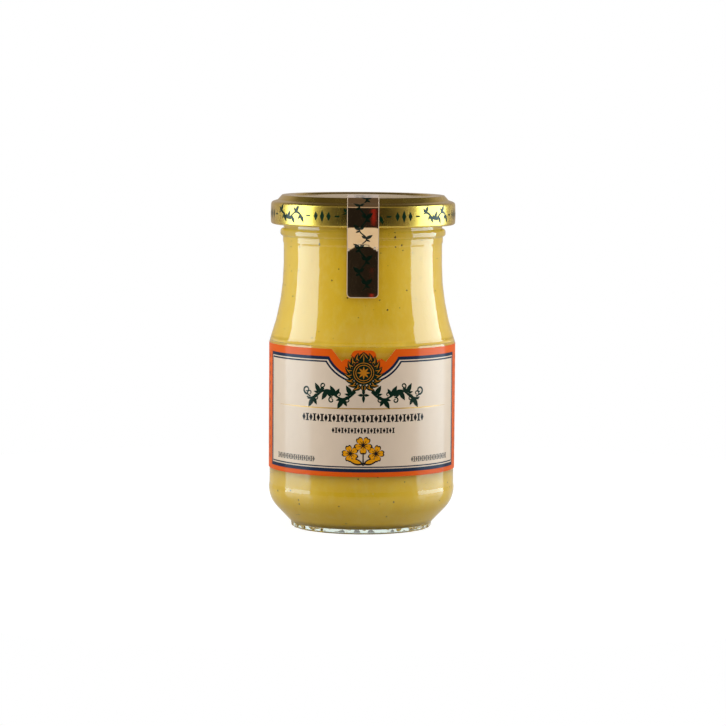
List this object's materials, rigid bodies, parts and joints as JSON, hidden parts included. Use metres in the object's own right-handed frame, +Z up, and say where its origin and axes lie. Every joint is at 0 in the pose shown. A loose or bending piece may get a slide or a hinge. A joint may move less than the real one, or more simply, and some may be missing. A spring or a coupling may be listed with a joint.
{
  "type": "mustard jar",
  "caption": "Waisted glass jar filled with smooth mustard, closed by a gold twist-off lid with a foil seal strip, with a die-cut paper label.",
  "frame": {"origin": "centre of the jar's foot, on the surface it stands on", "axes": "+Z up along the jar's axis; the front of the label faces -Y; +X to the right seen from the front"},
  "size_m": [0.0614, 0.0612, 0.1091],
  "materials": {
    "glass": "clear soda-lime glass with a faint green tint",
    "mustard": "smooth moist mustard with sparse dark specks",
    "lid": "mirror gold lacquer on tinplate with a printed green ornament band",
    "foil": "bronze-gold mirror foil with pale cut edges",
    "label_paper": "coated paper, printed orange, cream and dark blue"
  },
  "bodies": {
    "root": {"glass_jar": "glass", "mustard": "mustard", "lid": "lid", "seal_strip": "foil", "label": "label_paper"}
  },
  "joints": []
}
